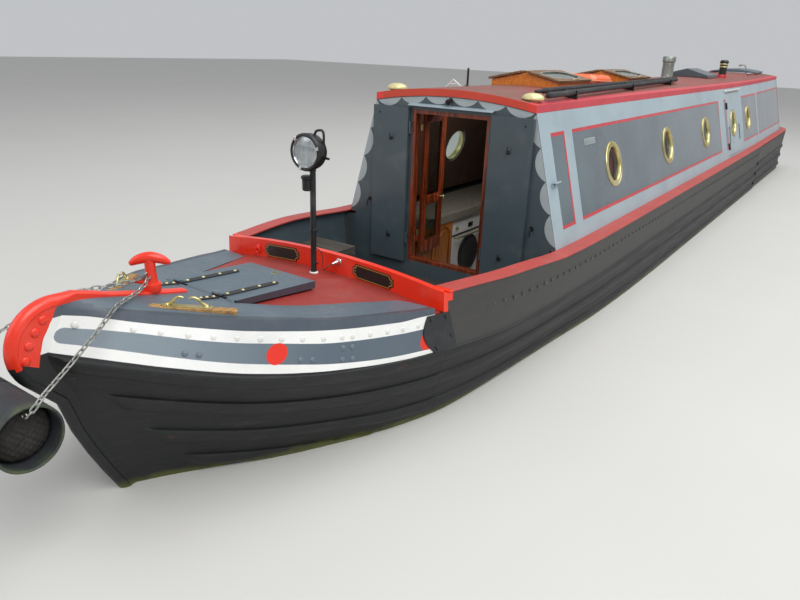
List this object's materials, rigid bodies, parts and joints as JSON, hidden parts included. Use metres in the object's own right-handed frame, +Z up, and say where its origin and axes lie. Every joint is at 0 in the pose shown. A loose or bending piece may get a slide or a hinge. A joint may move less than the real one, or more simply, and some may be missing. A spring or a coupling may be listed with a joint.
{
  "type": "narrowboat",
  "caption": "Steel narrowboat with a decked bow, well deck, long cabin with portholes, roof fittings, counter stern, propeller, rudder and tiller.",
  "frame": {"origin": "middle of the boat's length and breadth, at the flat underside of the base plate", "axes": "+X towards the bow, +Y to port, +Z up"},
  "size_m": [15.6426, 2.082, 2.6027],
  "materials": {
    "hull_black": "semi-matt black, scuffed",
    "hull_grey": "semi-matt dark grey, scuffed",
    "slate": "satin slate grey",
    "slate_dark": "satin dark slate",
    "cabin_panel": "gloss grey-blue",
    "red": "gloss orange-red",
    "red_oxide": "satin brick red",
    "roof_paint": "matt weathered red",
    "black": "satin black",
    "brass": "polished",
    "steel": "bright",
    "zinc": "galvanised",
    "wood": "varnished",
    "worn_wood": "bare, worn",
    "floor": "ribbed mat, dirty",
    "rubber": "matt",
    "pole_cover": "black sleeve",
    "lifebuoy": "faded orange",
    "white": "white enamel",
    "bronze": "dull bronze",
    "glass": "clear",
    "fabric": "woven curtain",
    "rope": "laid rope",
    "chrome": "bright"
  },
  "bodies": {
    "boat": {"base_plate": "hull_black", "bow": "hull_black", "hull_side_port": "hull_grey", "hull_side_starboard": "hull_grey", "counter": "hull_grey", "roof_box": "slate", "front_bulkhead": "slate_dark", "rear_bulkhead": "slate_dark", "cabin_side_port": "cabin_panel", "cabin_side_starboard": "cabin_panel", "stem_bar": "red", "dash": "red", "t_stud": "red", "foredeck": "red_oxide", "gunwale_port": "red_oxide", "gunwale_starboard": "red_oxide", "stern_deck": "red_oxide", "roof": "roof_paint", "lamp_post": "black", "headlamp": "black", "chimney": "black", "fairlead_port": "brass", "fairlead_starboard": "brass", "mushroom_vent_port": "brass", "mushroom_vent_starboard": "brass", "flue": "steel", "lamp_plug": "steel", "fender_chain_port": "zinc", "fender_chain_starboard": "zinc", "engine": "zinc", "door_frame": "wood", "galley": "wood", "skylight_fore": "wood", "skylight_mid": "wood", "well_seat": "worn_wood", "cabin_floor": "worn_wood", "well_floor": "floor", "bow_fender": "rubber", "lamp_cable": "rubber", "roof_poles": "pole_cover", "lifebuoy": "lifebuoy", "washer": "white"},
    "outer_door_port": {"outer_door_port": "slate_dark"},
    "outer_door_starboard": {"outer_door_starboard": "slate_dark"},
    "inner_door_port": {"inner_door_port": "wood"},
    "inner_door_starboard": {"inner_door_starboard": "wood"},
    "rear_door_port": {"rear_door_port": "slate_dark"},
    "rear_door_starboard": {"rear_door_starboard": "slate_dark"},
    "skylight_fore_lid_port": {"skylight_fore_lid_port": "wood"},
    "skylight_fore_lid_starboard": {"skylight_fore_lid_starboard": "wood"},
    "skylight_mid_lid_port": {"skylight_mid_lid_port": "wood"},
    "skylight_mid_lid_starboard": {"skylight_mid_lid_starboard": "wood"},
    "locker_lid": {"locker_lid": "slate"},
    "side_hatch": {"side_hatch": "cabin_panel"},
    "rudder": {"rudder": "black"},
    "rear_slide": {"rear_slide": "slate"},
    "propeller": {"propeller": "bronze"}
  },
  "joints": [
    {"name": "outer_door_port_hinge", "type": "hinge", "parent": "boat", "child": "outer_door_port", "pos_m": [4.3592, 0.338, 1.12], "axis": [0, 0, -1], "range_deg": [0, 180]},
    {"name": "outer_door_starboard_hinge", "type": "hinge", "parent": "boat", "child": "outer_door_starboard", "pos_m": [4.3592, -0.338, 1.12], "axis": [0, 0, 1], "range_deg": [0, 180]},
    {"name": "inner_door_port_hinge", "type": "hinge", "parent": "boat", "child": "inner_door_port", "pos_m": [4.2347, 0.313, 1.12], "axis": [0, 0, 1], "range_deg": [0, 90]},
    {"name": "inner_door_starboard_hinge", "type": "hinge", "parent": "boat", "child": "inner_door_starboard", "pos_m": [4.2347, -0.313, 1.12], "axis": [0, 0, -1], "range_deg": [0, 90]},
    {"name": "rear_door_port_hinge", "type": "hinge", "parent": "boat", "child": "rear_door_port", "pos_m": [-6.7818, 0.318, 1.5], "axis": [0, 0, -1], "range_deg": [0, 180]},
    {"name": "rear_door_starboard_hinge", "type": "hinge", "parent": "boat", "child": "rear_door_starboard", "pos_m": [-6.7818, -0.318, 1.5], "axis": [0, 0, 1], "range_deg": [0, 180]},
    {"name": "skylight_fore_lid_port_hinge", "type": "hinge", "parent": "boat", "child": "skylight_fore_lid_port", "pos_m": [2.5687, 0.012, 2.438], "axis": [1, 0, 0], "range_deg": [0, 45.84]},
    {"name": "skylight_fore_lid_starboard_hinge", "type": "hinge", "parent": "boat", "child": "skylight_fore_lid_starboard", "pos_m": [2.5687, -0.012, 2.438], "axis": [-1, 0, 0], "range_deg": [0, 45.84]},
    {"name": "skylight_mid_lid_port_hinge", "type": "hinge", "parent": "boat", "child": "skylight_mid_lid_port", "pos_m": [0.7087, 0.012, 2.438], "axis": [1, 0, 0], "range_deg": [0, 45.84]},
    {"name": "skylight_mid_lid_starboard_hinge", "type": "hinge", "parent": "boat", "child": "skylight_mid_lid_starboard", "pos_m": [0.7087, -0.012, 2.438], "axis": [-1, 0, 0], "range_deg": [0, 45.84]},
    {"name": "locker_lid_hinge", "type": "hinge", "parent": "boat", "child": "locker_lid", "pos_m": [6.6567, 0, 1.443], "axis": [0, 1, 0], "range_deg": [0, 100.27]},
    {"name": "side_hatch_hinge", "type": "hinge", "parent": "boat", "child": "side_hatch", "pos_m": [-1.8638, 0.9242, 1.3126], "axis": [0, 0.2647, -0.9643], "range_deg": [0, 180]},
    {"name": "rudder_hinge", "type": "hinge", "parent": "boat", "child": "rudder", "pos_m": [-7.4813, 0, 1], "axis": [0, 0, 1], "range_deg": [-37.24, 37.24]},
    {"name": "rear_slide_runner", "type": "slide", "parent": "boat", "child": "rear_slide", "axis": [1, 0, 0], "range_m": [0, 0.69]},
    {"name": "propeller_shaft", "type": "hinge", "parent": "boat", "child": "propeller", "pos_m": [-7.0613, 0, 0.27], "axis": [1, 0, 0], "continuous": true}
  ]
}
